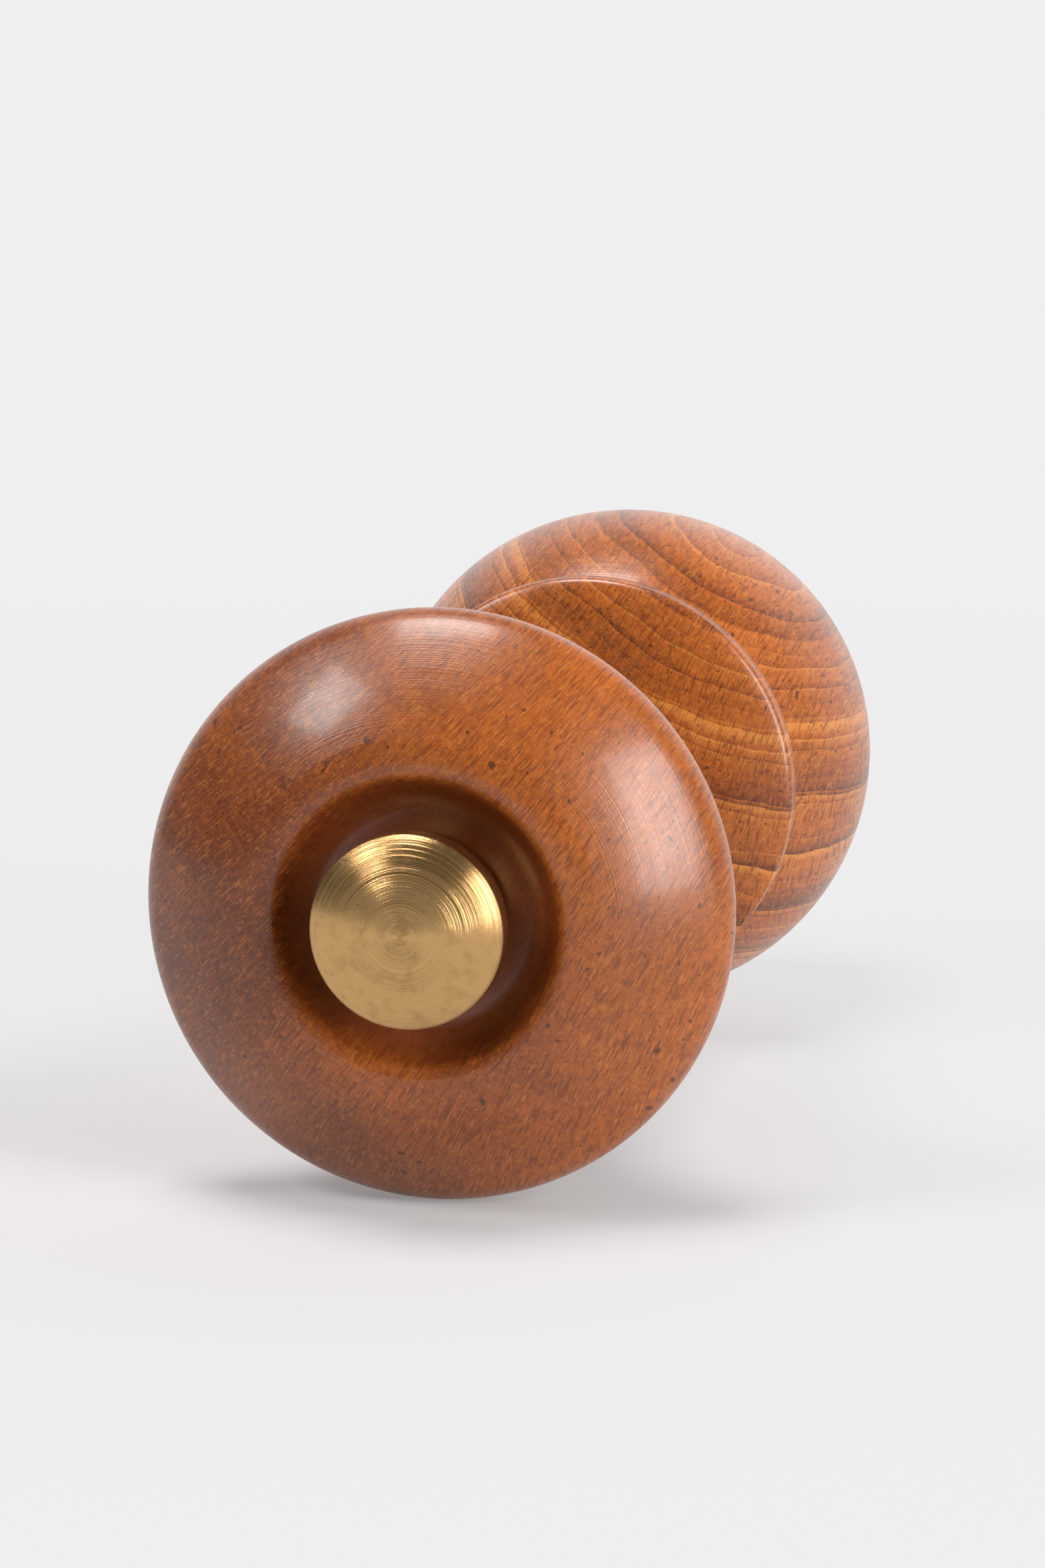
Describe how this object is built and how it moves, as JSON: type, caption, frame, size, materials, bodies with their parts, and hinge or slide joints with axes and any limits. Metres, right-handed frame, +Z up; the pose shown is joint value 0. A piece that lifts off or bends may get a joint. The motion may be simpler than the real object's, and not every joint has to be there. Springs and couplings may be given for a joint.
{
  "type": "pepper mill",
  "caption": "Turned wooden pepper mill lying on its side: mushroom head on a slim neck, collar and round body, brass adjusting knob and a steel grinding mechanism.",
  "frame": {"origin": "on the floor under the middle of the mill as it lies on its side", "axes": "+Y along the mill's axis from the knob to the foot, +Z up, +X to the right seen from the knob"},
  "size_m": [0.058, 0.145, 0.058],
  "materials": {
    "teak": "oiled satin, turned, red-brown with fine growth rings",
    "brass": "turned and lightly brushed in rings",
    "steel": "plain rolled and zinc-bright steel",
    "cutter_steel": "dark hardened steel with cut teeth"
  },
  "bodies": {
    "body": {"mill_body": "teak", "grinding_ring": "cutter_steel", "spring_bridge": "steel", "bottom_strap": "steel", "strap_screw_1": "steel", "strap_screw_2": "steel", "mill_spring": "steel"},
    "slip_ring": {"slip_ring": "brass"},
    "head": {"head": "teak", "drive_plate": "steel", "drive_screw_1": "steel", "drive_screw_2": "steel", "knob_washer": "brass"},
    "knob": {"knob": "brass"},
    "spring_seat": {"spring_seat": "steel"},
    "grinder": {"spindle": "steel", "rotor": "cutter_steel", "rotor_clip": "steel"}
  },
  "joints": [
    {"name": "head_lift", "type": "slide", "parent": "body", "child": "slip_ring", "axis": [0, -1, 0], "range_m": [0, 0.1]},
    {"name": "head_turn", "type": "hinge", "parent": "slip_ring", "child": "head", "pos_m": [0, 0, 0.029], "axis": [0, 1, 0], "continuous": true},
    {"name": "knob_turn", "type": "hinge", "parent": "head", "child": "knob", "pos_m": [0, 0, 0.029], "axis": [0, -1, 0], "range_deg": [0, 540]},
    {"name": "grind_travel", "type": "slide", "parent": "body", "child": "spring_seat", "axis": [0, 1, 0], "range_m": [0, 0.0012], "deforming": ["mill_spring"]},
    {"name": "spindle_turn", "type": "hinge", "parent": "spring_seat", "child": "grinder", "pos_m": [0, 0, 0.029], "axis": [0, 1, 0], "continuous": true}
  ],
  "couplings": [
    {"joint": "spindle_turn", "follows": "head_turn", "ratio": 1},
    {"joint": "knob_turn", "follows": "grind_travel", "rad_per_m": 7854}
  ]
}
